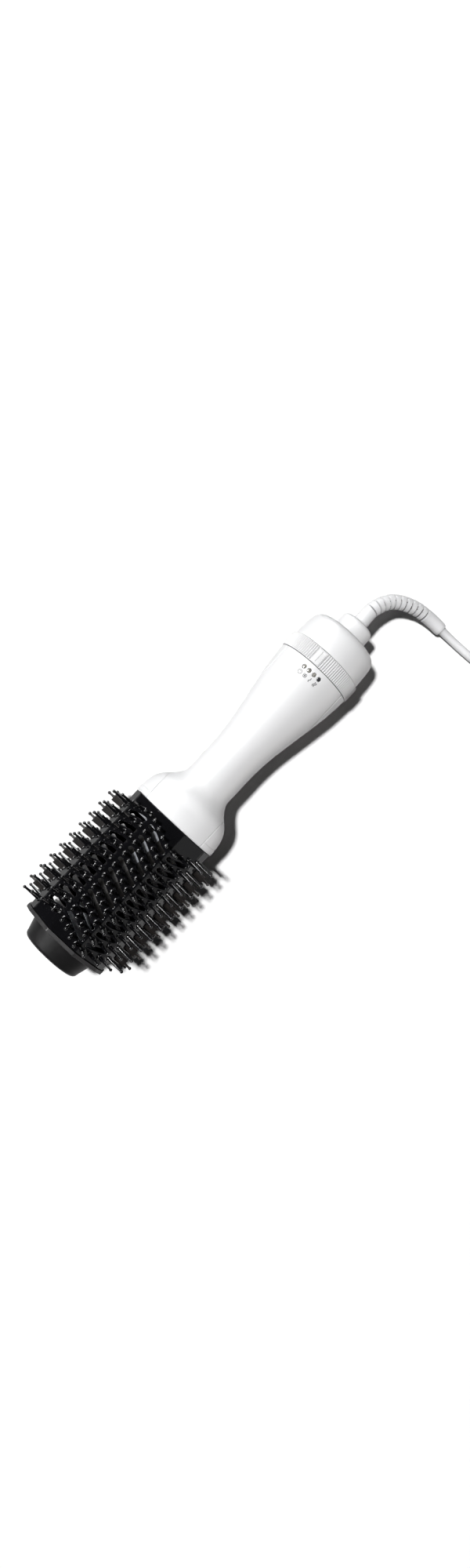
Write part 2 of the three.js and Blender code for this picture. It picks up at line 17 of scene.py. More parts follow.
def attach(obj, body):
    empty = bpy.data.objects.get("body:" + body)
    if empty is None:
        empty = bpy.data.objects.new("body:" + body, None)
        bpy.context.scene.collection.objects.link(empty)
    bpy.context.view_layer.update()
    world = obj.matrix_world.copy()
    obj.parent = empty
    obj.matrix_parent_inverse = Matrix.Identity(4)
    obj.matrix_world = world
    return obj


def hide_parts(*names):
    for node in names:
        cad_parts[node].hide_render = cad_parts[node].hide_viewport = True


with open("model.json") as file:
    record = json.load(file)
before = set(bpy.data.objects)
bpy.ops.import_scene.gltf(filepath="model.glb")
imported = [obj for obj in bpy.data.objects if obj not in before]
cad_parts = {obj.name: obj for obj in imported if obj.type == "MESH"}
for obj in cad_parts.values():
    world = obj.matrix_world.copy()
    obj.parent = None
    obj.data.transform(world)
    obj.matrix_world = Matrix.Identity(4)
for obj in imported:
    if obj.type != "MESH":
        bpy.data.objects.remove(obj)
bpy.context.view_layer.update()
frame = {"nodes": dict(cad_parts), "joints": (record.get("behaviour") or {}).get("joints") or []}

MM = 0.001
JOINTS = {joint["name"]: joint for joint in frame["joints"]}
AXIS = Vector(JOINTS["switch_turn"]["axis"]).normalized()
RING_MIDDLE = 130.1
ORIGIN = Vector(JOINTS["switch_turn"]["pos_m"]) - AXIS * RING_MIDDLE * MM
BRUSH = np.array([[AXIS.x, 0, -AXIS.z], [0, 1, 0], [AXIS.z, 0, AXIS.x]])

def add_object(name, data):
    obj = bpy.data.objects.new(name, data)
    bpy.context.scene.collection.objects.link(obj)
    return obj


# ---- camera
CAMERA_AT = Vector((26.66, -24.78, 829.9)) * MM
CAMERA_TO = Vector((18.03, -14.40, 36.0)) * MM
CAMERA_ROLL = radians(-46.947)
CAMERA_LENS = 23.394


def make_camera():
    data = bpy.data.cameras.new("camera")
    data.sensor_width = 36
    data.lens = CAMERA_LENS
    camera = add_object("camera", data)
    forward = (CAMERA_TO - CAMERA_AT).normalized()
    right = forward.cross(Vector((0, 1, 0))).normalized()
    up = right.cross(forward)
    turn, lift = cos(CAMERA_ROLL), sin(CAMERA_ROLL)
    across, upright = right * turn + up * lift, up * turn - right * lift
    camera.matrix_world = Matrix.Translation(CAMERA_AT) @ Matrix(
        (across, upright, -forward)).transposed().to_4x4()
    bpy.context.scene.camera = camera


make_camera()


# ---- materials
def node(tree, kind, inputs=(), **settings):
    made = tree.nodes.new(kind)
    for name, value in settings.items():
        setattr(made, name, value)
    for name, value in dict(inputs).items():
        if isinstance(value, bpy.types.NodeSocket):
            tree.links.new(value, made.inputs[name])
        else:
            made.inputs[name].default_value = value
    return made


def noise(tree, where, scale, detail=3.0, rough=0.55):
    made = node(tree, "ShaderNodeTexNoise", {"Vector": where, "Scale": scale, "Detail": detail,
                                             "Roughness": rough})
    return made.outputs["Fac"]


def ramp(tree, value, stops):
    made = node(tree, "ShaderNodeValToRGB", {"Fac": value})
    elements = made.color_ramp.elements
    while len(elements) < len(stops):
        elements.new(0.5)
    for element, (place, color) in zip(elements, stops):
        element.position = place
        element.color = (*color, 1)
    return made.outputs["Color"]


def spread_of(tree, value, low, high):
    made = node(tree, "ShaderNodeMapRange", {"Value": value, "From Min": 0.3, "From Max": 0.7,
                                             "To Min": low, "To Max": high})
    return made.outputs["Result"]


def shaded(color, factor):
    return tuple(min(1.0, part * factor) for part in color)


def inner_parts(made):
    tree = made.node_tree
    return tree, tree.nodes["Principled BSDF"], node(tree, "ShaderNodeTexCoord").outputs["Object"]


def material(name, color, roughness, *, metallic=0.0, mottle=45.0, vary=0.03, rough_vary=0.05,
             grain=1500.0, bump=0.15, depth=0.02, coat=0.0, coat_rough=0.1, stretch=(1, 1, 1),
             sheen=0.0, specular=0.5):
    """A procedural finish: mottled colour, uneven roughness and a fine surface grain."""
    made = bpy.data.materials.new(name)
    made.use_nodes = True
    tree, shader, place = inner_parts(made)
    drawn = node(tree, "ShaderNodeMapping", {"Vector": place, "Scale": stretch}).outputs["Vector"]
    broad = noise(tree, drawn, mottle)
    stops = [(0.3, shaded(color, 1 - vary)), (0.7, shaded(color, 1 + vary))]
    tree.links.new(ramp(tree, broad, stops), shader.inputs["Base Color"])
    patchy = noise(tree, drawn, mottle * 6, 4.0)
    tree.links.new(spread_of(tree, patchy, max(0.02, roughness - rough_vary),
                             roughness + rough_vary), shader.inputs["Roughness"])
    fine = noise(tree, drawn, grain, 2.0)
    bumped = node(tree, "ShaderNodeBump", {"Height": fine, "Strength": bump,
                                           "Distance": depth * MM})
    tree.links.new(bumped.outputs["Normal"], shader.inputs["Normal"])
    for name, value in {"Metallic": metallic, "Specular IOR Level": specular, "Coat Weight": coat,
                        "Coat Roughness": coat_rough, "Sheen Weight": sheen}.items():
        shader.inputs[name].default_value = value
    return made


def mica_material():
    """Mica sheet, dark except for a paler strip along its front, near the handle."""
    clear_from, clear_to, strip_middle, strip_half = -0.082, -0.079, 0.0022, 0.0038
    made = material("mica", (0.5, 0.48, 0.44), 0.6, grain=700, bump=0.4, depth=0.1)
    tree, shader, place = inner_parts(made)
    along = node(tree, "ShaderNodeSeparateXYZ", {"Vector": place}).outputs["X"]
    clear = node(tree, "ShaderNodeMapRange", {"Value": along, "From Min": clear_from,
                                              "From Max": clear_to}).outputs["Result"]
    across = node(tree, "ShaderNodeSeparateXYZ", {"Vector": place}).outputs["Y"]
    strip = node(tree, "ShaderNodeMath", {0: across, 1: strip_middle, 2: strip_half},
                 operation="COMPARE").outputs["Value"]
    share = node(tree, "ShaderNodeMath", {0: clear, 1: strip},
                 operation="MULTIPLY").outputs["Value"]
    color = ramp(tree, share, [(0.0, (0.012, 0.011, 0.01)), (1.0, (0.2, 0.21, 0.23))])
    tree.links.new(color, shader.inputs["Base Color"])
    return made


def mesh_material():
    """Fine woven wire: a grid of bright wires with dark holes between them."""
    made = material("wire_mesh", (0.5, 0.5, 0.52), 0.4, metallic=1.0)
    tree, shader, place = inner_parts(made)
    weft, warp = (node(tree, "ShaderNodeTexWave", {"Vector": place, "Scale": 420.0},
                       bands_direction=direction).outputs["Fac"] for direction in "YZ")
    both = node(tree, "ShaderNodeMath", {0: weft, 1: warp}, operation="MULTIPLY").outputs["Value"]
    color = ramp(tree, both, [(0.2, (0.03, 0.03, 0.032)), (0.5, (0.55, 0.55, 0.57))])
    tree.links.new(color, shader.inputs["Base Color"])
    return made


WHITE = material("white_shell", (0.64, 0.642, 0.648), 0.42, vary=0.008, grain=2200, bump=0.05,
                 specular=0.4)
WHITE_RING = material("white_ring", (0.585, 0.585, 0.59), 0.45, vary=0.015, grain=2600, bump=0.12,
                      specular=0.4)
GLOSS_BLACK = material("gloss_black", (0.0035, 0.0035, 0.0042), 0.09, vary=0.2, rough_vary=0.03,
                       mottle=30, grain=900, bump=0.06, depth=0.03)
RIM_BLACK = material("rim_black", (0.02, 0.0195, 0.02), 0.42, vary=0.12, grain=3200, bump=0.35,
                     depth=0.03, specular=0.3)
SATIN_BLACK = material("satin_black", (0.0085, 0.0082, 0.0085), 0.4, vary=0.12, grain=3200,
                       bump=0.35, depth=0.03, specular=0.2)
TUFT = material("tuft_filament", (0.008, 0.0058, 0.005), 0.42, vary=0.5, mottle=1200,
                stretch=(1, 0.08, 1), bump=0.3, sheen=0.15)
LENS = material("clear_lens", (0.035, 0.037, 0.04), 0.12, vary=0.3, mottle=900, coat=0.8,
                coat_rough=0.03)
LENS_PALE = material("pale_lens", (0.2, 0.195, 0.175), 0.12, vary=0.5, mottle=1100, coat=0.8,
                     coat_rough=0.03)
PRINT = material("grey_print", (0.06, 0.06, 0.063), 0.5, vary=0.1, mottle=800)
INNER = material("inner_plastic", (0.3, 0.31, 0.33), 0.5, vary=0.06, grain=1800, bump=0.25)
BOARD = material("board", (0.02, 0.13, 0.05), 0.4, vary=0.15, mottle=300, coat=0.4)
WIRE = material("heating_wire", (0.42, 0.38, 0.34), 0.35, metallic=1.0, vary=0.25, mottle=400)
STEEL = material("steel", (0.56, 0.56, 0.57), 0.3, metallic=1.0, vary=0.06, rough_vary=0.1,
                 stretch=(1, 8, 8), mottle=200)
BRASS = material("brass", (0.72, 0.5, 0.2), 0.27, metallic=1.0, vary=0.08, rough_vary=0.1,
                 stretch=(6, 1, 6), mottle=260)
# painted shade, for the depths of the strain relief's slits
SLIT_SHADE = material("slit_shade", (0.03, 0.025, 0.022), 0.6, vary=0.1, mottle=600)
CORD_WHITE = material("cord_white", (0.63, 0.632, 0.64), 0.5, vary=0.02, mottle=80, grain=1300,
                      bump=0.25, depth=0.04, specular=0.4)
TIE = material("tie", (0.05, 0.05, 0.052), 0.75, vary=0.3, mottle=900, grain=2600, bump=0.8,
               depth=0.1, sheen=0.4)
MICA = mica_material()
WIRE_MESH = mesh_material()

NODE_FINISH = {
    INNER: ["barrel_spigot", "switch_wiper", "ring_sleeve", "rotary_switch", "fan_housing",
            "fan_impeller", "heater_carrier", "air_deflector"],
    STEEL: ["click_spring", "motor", "motor_shaft", "thermostat", "thermal_fuse"],
    MICA: ["heater_sleeve", "heater_frame"],
    WIRE_MESH: ["inlet_filter"],
    WIRE: ["heater_coil"],
    BRASS: ["slip_contacts"],
    BOARD: ["control_board"],
    CORD_WHITE: ["heater_lead_live", "heater_lead_neutral"],
}
for finish, names in NODE_FINISH.items():
    for name in names:
        mesh = frame["nodes"][name].data
        mesh.materials.clear()
        mesh.materials.append(finish)


# ---- mesh helpers
class Shape:
    """Points and faces in millimetres, gathered from several closed parts."""

    def __init__(self):
        self.points, self.faces, self.count = [], [], 0

    def add(self, part, turn=None, shift=(0, 0, 0)):
        points, faces = part
        points = np.asarray(points, float).reshape(-1, 3)
        if turn is not None:
            points = points @ np.asarray(turn, float).T
        self.points.append(points + np.asarray(shift, float))
        start = self.count
        self.faces += [[i + start for i in face] for face in faces]
        self.count += len(points)
        return self

    def all_points(self):
        return np.concatenate(self.points)


def on_brush(points):
    return points @ BRUSH.T * MM + np.array(ORIGIN)


def on_table(points):
    return points * MM


def mesh_of(name, shape, place):
    mesh = bpy.data.meshes.new(name)
    mesh.from_pydata(place(shape.all_points()), [], shape.faces)
    work = bmesh.new()
    work.from_mesh(mesh)
    bmesh.ops.recalc_face_normals(work, faces=work.faces)
    work.to_mesh(mesh)
    work.free()
    return mesh


def carve(mesh, tools):
    """Cuts the tools, one mesh, out of the mesh."""
    body, tool = add_object("carved", mesh), add_object("tool", tools)
    cutter = body.modifiers.new("cut", "BOOLEAN")
    cutter.operation, cutter.solver, cutter.object = "DIFFERENCE", "EXACT", tool
    view = bpy.context.evaluated_depsgraph_get()
    result = bpy.data.meshes.new_from_object(body.evaluated_get(view))
    for each in (body, tool):
        bpy.data.objects.remove(each)
    return result


def piece(name, shape, finish, slot, *nodes, body="handle", place=on_brush, sharp=38, tools=None):
    mesh = mesh_of(name, shape, place)
    if tools is not None:
        mesh = carve(mesh, mesh_of("tool", tools, place))
    mesh.shade_smooth()
    mesh.set_sharp_from_angle(angle=radians(sharp))
    mesh.materials.clear()
    mesh.materials.append(finish)
    obj = add_object(name, mesh)
    obj.modifiers.new("even_normals", "WEIGHTED_NORMAL").keep_sharp = True
    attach(obj, body)
    if nodes:
        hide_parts(*nodes)
    return obj


def revolve(profile, segments=48, closed=False):
    """Turned about X from [x, radius] points; a radius of nothing ends on the axis."""
    points, rings, faces = [], [], []
    for x, radius in profile:
        if radius < 1e-6:
            rings.append([len(points)] * segments)
            points.append((x, 0, 0))
            continue
        rings.append(list(range(len(points), len(points) + segments)))
        for i in range(segments):
            angle = 2 * pi * i / segments
            points.append((x, radius * sin(angle), radius * cos(angle)))
    pairs = list(zip(rings, rings[1:])) + ([(rings[-1], rings[0])] if closed else [])
    for first, second in pairs:
        for i in range(segments):
            k = (i + 1) % segments
            corners = [first[i], first[k], second[k], second[i]]
            face = [c for n, c in enumerate(corners) if c != corners[n - 1]]
            if len(face) > 2:
                faces.append(face)
    return points, faces


def sections(rings, closed=False):
    """A skin over a row of equal rings of points, with flat ends or joined to its start."""
    rings = np.asarray(rings, float)
    count, sides = rings.shape[:2]
    faces = [[i * sides + j, i * sides + (j + 1) % sides,
              (i + 1) % count * sides + (j + 1) % sides, (i + 1) % count * sides + j]
             for i in range(count if closed else count - 1) for j in range(sides)]
    if not closed:
        faces += [list(range(sides)), list(range((count - 1) * sides, count * sides))]
    return rings.reshape(-1, 3), faces


def units(vectors):
    return vectors / (np.linalg.norm(vectors, axis=1, keepdims=True) + 1e-12)


def aim(direction):
    """The turn that takes +X to the direction."""
    turn = Vector((1, 0, 0)).rotation_difference(Vector(direction))
    return np.array(turn.to_matrix())


def spline(knots):
    """A natural cubic through [x, y] knots, as a function of x."""
    xs, ys = np.array(knots, float).T
    gaps = np.diff(xs)
    count = len(xs)
    left, right = np.eye(count), np.zeros(count)
    for i in range(1, count - 1):
        left[i, i - 1:i + 2] = gaps[i - 1], 2 * (gaps[i - 1] + gaps[i]), gaps[i]
        right[i] = 6 * ((ys[i + 1] - ys[i]) / gaps[i] - (ys[i] - ys[i - 1]) / gaps[i - 1])
    bend = np.linalg.solve(left, right)

    def value(x):
        x = np.clip(np.asarray(x, float), xs[0], xs[-1])
        i = np.clip(np.searchsorted(xs, x) - 1, 0, count - 2)
        h, a, b = gaps[i], xs[i + 1] - x, x - xs[i]
        return ((bend[i] * a**3 + bend[i + 1] * b**3) / (6 * h)
                + (ys[i] / h - bend[i] * h / 6) * a + (ys[i + 1] / h - bend[i + 1] * h / 6) * b)
    return value


def ease(value):
    """A smooth step from 0 to 1."""
    value = np.clip(value, 0, 1)
    return value * value * (3 - 2 * value)


def inside(points, loop):
    """Which of the points lie inside a closed loop."""
    x, y = points.T[..., None]
    x0, y0 = loop.T[:, None]
    x1, y1 = np.roll(loop, -1, 0).T[:, None]
    crosses = (y0 > y) != (y1 > y)
    with np.errstate(divide="ignore", invalid="ignore"):
        at = x0 + (y - y0) * (x1 - x0) / (y1 - y0)
    return (np.sum(crosses & (x < at), axis=1) % 2) == 1


EDGE = [(0.16, 0.03), (0.3, 0.11), (0.41, 0.24), (0.45, 0.45)]  # a rounded rim: (outwards, down)
EDGE_OUT = EDGE[-1][0]


def plate(outline, holes, grid, surface, wall, lines=(), margin=0.45):
    """A closed moulded plate with holes and rounded rims. The outline, holes, grid points and
    lines are on a flat (u, v) sheet, and surface(u, v, depth) bends it into place."""
    loops = [np.asarray(outline, float)] + [np.asarray(hole, float) for hole in holes]
    grid = np.asarray(grid, float).reshape(-1, 2)
    keep = inside(grid, loops[0])
    for hole in loops[1:]:
        keep &= ~inside(grid, hole)
    rim = np.concatenate(loops)
    for start in range(0, len(grid), 2000):
        part = grid[start:start + 2000]
        near = np.min(np.hypot(*(part[:, None] - rim).T), axis=0)
        keep[start:start + 2000] &= near > margin
    flat, edges = [], []
    for loop in loops:
        first = len(flat)
        flat += [Vector(p) for p in loop]
        edges += [(first + i, first + (i + 1) % len(loop)) for i in range(len(loop))]
    for line in lines:
        first = len(flat)
        flat += [Vector(p) for p in line]
        edges += [(first + i, first + i + 1) for i in range(len(line) - 1)]
    flat += [Vector(p) for p in grid[keep]]
    points, _, triangles, *_ = delaunay_2d_cdt(flat, edges, [], 0, 1e-5)
    points = np.array([tuple(p) for p in points])
    triangles = np.array([t for t in triangles if len(t) == 3])
    centres = points[triangles].mean(1)
    real = inside(centres, loops[0])
    for hole in loops[1:]:
        real &= ~inside(centres, hole)
    triangles = triangles[real]
    ways = {(int(t[k]), int(t[(k + 1) % 3])) for t in triangles for k in range(3)}
    left = {a: b for a, b in ways if (b, a) not in ways}
    used = np.unique(triangles)
    place = {int(old): new for new, old in enumerate(used)}
    count = len(used)
    made = [surface(*points[used].T, np.full(count, depth)) for depth in (0.0, wall)]
    total = 2 * count
    faces = [[place[int(i)] for i in t] for t in triangles]
    faces += [[place[int(i)] + count for i in reversed(t)] for t in triangles]
    while left:
        start = next(iter(left))
        loop, at = [], start
        while at in left:
            loop.append(at)
            at = left.pop(at)
        ring = points[loop]
        way = np.roll(ring, -1, 0) - ring
        normal = units(np.stack([way[:, 1], -way[:, 0]], 1))
        normal = units(normal + np.roll(normal, 1, 0))
        rows = [[place[i] for i in loop]]
        for out, down in EDGE + [(EDGE_OUT, wall - 0.2)]:
            moved = ring + normal * out
            made.append(surface(*moved.T, np.full(len(loop), down)))
            rows.append(list(range(total, total + len(loop))))
            total += len(loop)
        rows.append([place[i] + count for i in loop])
        for upper, lower in zip(rows, rows[1:]):
            faces += [[upper[i - 1], upper[i], lower[i], lower[i - 1]] for i in range(len(loop))]
    return np.concatenate(made), faces


def lattice(us, vs):
    return np.array([(u, v) for u in us for v in vs])


def border(us, vs):
    """The lattice's outermost points, in order round it."""
    return ([(u, vs[0]) for u in us[:-1]] + [(us[-1], v) for v in vs[:-1]]
            + [(u, vs[-1]) for u in us[:0:-1]] + [(us[0], v) for v in vs[:0:-1]])


def rounded(corners, radius, steps=5):
    """A closed outline with its corners rounded."""
    corners = [Vector(c) for c in corners]
    made = []
    for i, corner in enumerate(corners):
        to_last = (corners[i - 1] - corner).normalized()
        to_next = (corners[(i + 1) % len(corners)] - corner).normalized()
        reach = radius / tan(to_last.angle(to_next) / 2)
        start, end = corner + to_last * reach, corner + to_next * reach
        for k in range(steps + 1):
            t = k / steps
            made.append(tuple(start * (1 - t)**2 + corner * 2 * t * (1 - t) + end * t * t))
    return made


def rounded_box(low, high, radius, steps):
    return rounded([low, (high[0], low[1]), high, (low[0], high[1])], radius, steps)


def arc(cx, cy, radius, start, end, steps=24):
    """Points on a circle, between two angles in degrees."""
    return [(cx + radius * cos(a), cy + radius * sin(a))
            for a in np.radians(np.linspace(start, end, steps))]


def mix(a, b, start, end, t):
    return (end - t) / (end - start) * a + (t - start) / (end - start) * b


def smooth_line(points, step):
    """Points about a step apart on a centripetal Catmull-Rom curve."""
    points = [np.array(p, float) for p in points]
    points = [2 * points[0] - points[1], *points, 2 * points[-1] - points[-2]]
    made = []
    for a, b, c, d in zip(points, points[1:], points[2:], points[3:]):
        ta = 0.0
        tb = ta + np.linalg.norm(b - a)**0.5
        tc = tb + np.linalg.norm(c - b)**0.5
        td = tc + np.linalg.norm(d - c)**0.5
        for t in np.linspace(tb, tc, max(2, round(np.linalg.norm(c - b) / step)), endpoint=False):
            p, q, r = mix(a, b, ta, tb, t), mix(b, c, tb, tc, t), mix(c, d, tc, td, t)
            made.append(mix(mix(p, q, ta, tc, t), mix(q, r, tb, td, t), tb, tc, t))
    made.append(points[-2])
    return np.array(made)


def distances(line):
    return np.concatenate([[0], np.cumsum(np.linalg.norm(np.diff(line, axis=0), axis=1))])


def along_line(line, where):
    """The points and unit directions at these distances along a line."""
    run = distances(line)
    spots = np.stack([np.interp(where, run, line[:, k]) for k in range(3)], 1)
    return spots, units(np.gradient(spots, axis=0))


def sweep(line, where, radius_of, sides=32):
    """A closed tube along a line, its radius a function of distance and of the angle from up."""
    spots, ways = along_line(line, where)
    up = units(np.array([0, 0, 1.0]) - ways * ways[:, 2:3])
    side = np.cross(ways, up)
    angles = np.arange(sides) * 2 * pi / sides
    rings = []
    for i, distance in enumerate(where):
        radius = radius_of(distance, angles)[:, None]
        rings.append(spots[i] + radius * (np.cos(angles)[:, None] * up[i]
                                          + np.sin(angles)[:, None] * side[i]))
    return sections(rings)


# ---- cord, with its plug
EXIT_WAY = np.array(AXIS)
EXIT = np.array(JOINTS["cord_turn"]["pos_m"]) / MM + EXIT_WAY * 7.7
CORD_RADIUS = 3.5
COIL_X, COIL_Y = 280.0, -116.0
TURN_OUTER, TURN_INNER = 49.0, 28.0
TURN_LAST, TURN_LEAVING = 33.0, 38.5
LAYER_Z = [CORD_RADIUS * (1 + 2 * layer) for layer in range(3)]
BRIDGE_Z = 24.8  # the cord's height where it crosses over the coil to the plug
PLUG_X, PLUG_Z = 318.2, 30.3
PLUG_Y, PLUG_LENGTH = -105.7, 38.0
GLAND_Y, GLAND_LENGTH = -120.0, 14.4


def coil_points():
    """Three flat layers of turns: inwards, outwards and inwards again, then up to the plug."""
    low, middle, high = LAYER_Z
    stages = [  # degrees turned, radius from and to, height from and to
        (1080, TURN_OUTER, TURN_INNER, low, low),
        (90, TURN_INNER, TURN_INNER, low, middle),
        (1080, TURN_INNER, TURN_OUTER, middle, middle),
        (60, TURN_OUTER, TURN_OUTER, middle, high),
        (850, TURN_OUTER, TURN_LAST, high, high),
        (120, TURN_LAST, TURN_LEAVING, high, BRIDGE_Z),
    ]
    made, angle = [], 200.0
    for turned, r0, r1, z0, z1 in stages:
        steps = round(turned / 18)
        for i in range(steps):
            t = i / steps
            a = radians(angle + turned * t)
            radius = r0 + (r1 - r0) * t
            made.append((COIL_X + radius * cos(a), COIL_Y + radius * sin(a),
                         z0 + (z1 - z0) * ease(t)))
        angle += turned
    return made


ROUTE = [EXIT, EXIT + EXIT_WAY * 14, (207, -6.5, 25), (217, -21, 17.5), (221, -37, 10),
         (221.6, -51.4, 6.2), (221.8, -62, 4.2), (222, -74, CORD_RADIUS),
         (222.6, -87, CORD_RADIUS), (224.2, -100, CORD_RADIUS), (226.9, -112, CORD_RADIUS),
         (230, -122.5, CORD_RADIUS), *coil_points(),
         (267, -152.2, BRIDGE_Z), (282, -154.4, BRIDGE_Z), (295.5, -151.2, 25.3), (307, -143.5, 27),
         (314.3, -135, 29), (317.3, -127.6, 30), (PLUG_X, -120.4, PLUG_Z), (PLUG_X, -112, PLUG_Z)]
cord_line = smooth_line(ROUTE, 3.0)
cord_line[:, 2] = np.maximum(cord_line[:, 2], CORD_RADIUS)


def make_cord():
    data = bpy.data.curves.new("cord_flex", "CURVE")
    data.dimensions = "3D"
    data.bevel_depth = CORD_RADIUS * MM
    data.bevel_resolution = 5
    data.use_fill_caps = True
    line = data.splines.new("POLY")
    line.points.add(len(cord_line) - 1)
    for point, at in zip(line.points, cord_line):
        point.co = (*(at * MM), 1)
    data.materials.append(CORD_WHITE)
    cord = add_object("cord_flex", data)
    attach(cord, "cord_swivel")
    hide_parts("cord", "cord_coil", "cord_tail")
    return cord


cord = make_cord()

ON_CORD = {"body": "cord_swivel", "place": on_table}
RELIEF_LENGTH = 84.0
RELIEF_RADII = (6.2, 5.6)
RELIEF_SIDES = 40
SLITS = 11
FIRST_SLIT, SLIT_PITCH, LAST_SLIT_END = 13.0, 5.2, 68.0
SLIT_HALVES = (0.4, 0.85)
SLIT_SLANT, SLIT_DEPTH = 0.9, 2.3
SLIT_FACING = radians(35)


def relief_taper(distance):
    return np.interp(distance, (0, RELIEF_LENGTH), RELIEF_RADII)


def relief_radius(distance, angles):
    """The sleeve's radius. Its slits are cut from two opposite sides and widen along it."""
    rim, lip = 1.2, 0.8
    radius = relief_taper(distance)
    if distance < rim:
        radius -= 0.5 * (1 - distance / rim)**2
    if distance > RELIEF_LENGTH - lip:
        radius -= lip / 2
    index = round((distance - FIRST_SLIT) / SLIT_PITCH)
    if not 0 <= index < SLITS:
        return np.full(len(angles), radius)
    share = index / SLITS
    slant = SLIT_SLANT * share * np.cos(angles - SLIT_FACING)
    off = np.abs(distance + slant - FIRST_SLIT - index * SLIT_PITCH)
    half = np.interp(share, (0, 1), SLIT_HALVES)
    deep = SLIT_DEPTH * (1 - ease((off - half) / 0.22))
    open_side = ease((np.abs(np.cos(angles - SLIT_FACING)) - 0.22) / 0.12)
    return radius - deep * open_side


def make_relief():
    """The sleeve, with painted shade in the depths of its slits."""
    stations = np.concatenate([np.linspace(0, FIRST_SLIT - 2, 22, endpoint=False),
                               np.arange(FIRST_SLIT - 2, LAST_SLIT_END, 0.2),
                               np.linspace(LAST_SLIT_END, RELIEF_LENGTH, 24)])
    sleeve = piece("strain_relief_sleeve",
                   Shape().add(sweep(cord_line, stations, relief_radius, RELIEF_SIDES)),
                   CORD_WHITE, "cord_white", "strain_relief", **ON_CORD)
    angles = np.arange(RELIEF_SIDES) * 2 * pi / RELIEF_SIDES
    deep = np.concatenate([relief_taper(at) - relief_radius(at, angles) > SLIT_DEPTH / 2
                           for at in stations])
    # the faces deep in the slits take the painted shade
    sleeve.data.materials.append(SLIT_SHADE)
    for face in sleeve.data.polygons:
        if all(deep[corner] for corner in face.vertices):
            face.material_index = 1
    return sleeve


PLUG_SIZES = [(0, 7.4, 6.6), (1.2, 8.4, 7.5), (8, 8.7, 7.6), (16, 9.5, 7.9), (24, 11.6, 8.6),
              (30, 12.3, 8.85), (36.4, 12.4, 8.9), (PLUG_LENGTH, 12.4, 8.9)]
PLUG_SIDES, SQUARENESS = 56, 3.2
GRIP_SPAN, GRIP_PITCH, GRIP_DEPTH = (4, 19.6), 2.6, 0.35


def plug_shape():
    """A squarish plug body, rounded at both ends, with shallow grip ribs."""
    back_rim, front_rim = 1.2, 1.4
    stations = np.concatenate([[0, 0.25, 0.7], np.arange(back_rim, 36.4, 0.45),
                               PLUG_LENGTH - np.array([1.1, 0.5, 0.15, 0])])
    wide, thick = (spline([(size[0], size[k]) for size in PLUG_SIZES]) for k in (1, 2))
    angles = np.arange(PLUG_SIDES) * 2 * pi / PLUG_SIDES
    c, s = np.cos(angles), np.sin(angles)
    rings = []
    for t in stations:
        shrink = (1.2 * (1 - min(1, t / back_rim))**2
                  + 1.3 * max(0, (t - PLUG_LENGTH + front_rim) / front_rim)**2)
        gripped = GRIP_SPAN[0] < t < GRIP_SPAN[1]
        turn = 2 * pi * (t - GRIP_SPAN[0]) / GRIP_PITCH
        grip = GRIP_DEPTH * sin(turn)**2 if gripped else 0
        a, b = wide(t) - shrink - grip, thick(t) - shrink - grip * 0.4
        size = (np.abs(c / a)**SQUARENESS + np.abs(s / b)**SQUARENESS)**(-1 / SQUARENESS)
        rings.append(np.stack([PLUG_X + size * c, np.full(PLUG_SIDES, PLUG_Y + t),
                               PLUG_Z + size * s], 1))
    return sections(rings)


def gland_radius(distance, angles):
    """The plug's sleeve widens towards the plug, with a groove round it every few millimetres."""
    radius = np.full(len(angles), 4.4 + 2 * ease(distance / 13))
    if not 1.2 < distance < 12.5:
        return radius
    pitch, half, edge = 3.2, 0.35, 0.25
    off = abs((distance + 1.2) % pitch - pitch / 2)
    groove = 0.8 * (1 - ease((off - half) / edge))
    return radius - groove * (np.abs(np.cos(angles)) > 0.25)


BLADE_LENGTH, BLADE_HALF, BLADE_THICK, BLADE_SPREAD = 16.4, 2.88, 1.5, 6.35
BLADE_HOLE_AT, BLADE_HOLE_RADIUS = 12.6, 1.9


def blade(x):
    start, rounding = 0.3, 1.03
    outline = rounded_box((start, -BLADE_HALF), (start + BLADE_LENGTH, BLADE_HALF), rounding, 3)
    hole = arc(BLADE_HOLE_AT, 0, BLADE_HOLE_RADIUS, 0, 337.5, 16)

    def surface(u, v, depth):
        return np.stack([x + BLADE_THICK / 2 - depth, PLUG_Y + PLUG_LENGTH + start + u,
                         PLUG_Z + v], 1)
    return plate(outline, [hole], [(6, 0)], surface, BLADE_THICK)


relief = make_relief()
plug = piece("plug_housing", Shape().add(plug_shape()), CORD_WHITE, "cord_white", "plug_body",
             **ON_CORD)
gland_line = np.array([(PLUG_X, GLAND_Y, PLUG_Z), (PLUG_X, GLAND_Y + GLAND_LENGTH, PLUG_Z)])
gland_stations = np.linspace(0, GLAND_LENGTH, 73)
gland = piece("plug_sleeve", Shape().add(sweep(gland_line, gland_stations, gland_radius)),
              CORD_WHITE, "cord_white", "plug_gland", **ON_CORD)
blades = [piece(f"plug_pin_{word}", Shape().add(blade(PLUG_X + side * BLADE_SPREAD)), BRASS,
                "brass", f"plug_blade_{word}", **ON_CORD)
          for word, side in (("left", -1), ("right", 1))]

TIE_LOW, TIE_HIGH = (23.9, 0.05), (53.0, 21.9)  # radius and height of the strap's outside
TIE_HALF_WIDTH, TIE_TURN = 3, radians(120)


def tie_shape():
    """A strap round the coil's turns."""
    path = np.array(rounded_box(TIE_LOW, TIE_HIGH, 3.4, 6))
    centre = path.mean(0)
    out = np.array([cos(TIE_TURN), sin(TIE_TURN), 0])
    side = np.array([-out[1], out[0], 0]) * TIE_HALF_WIDTH
    rings = []
    for outer in path:
        inner = centre + (outer - centre) * 0.961
        rings.append([out * r + side * w + [COIL_X, COIL_Y, h]
                      for (r, h), w in ((outer, -1), (outer, 1), (inner, 1), (inner, -1))])
    return sections(rings, closed=True)


tie = piece("cord_tie", Shape().add(tie_shape()), TIE, "cord_white", **ON_CORD, sharp=50)

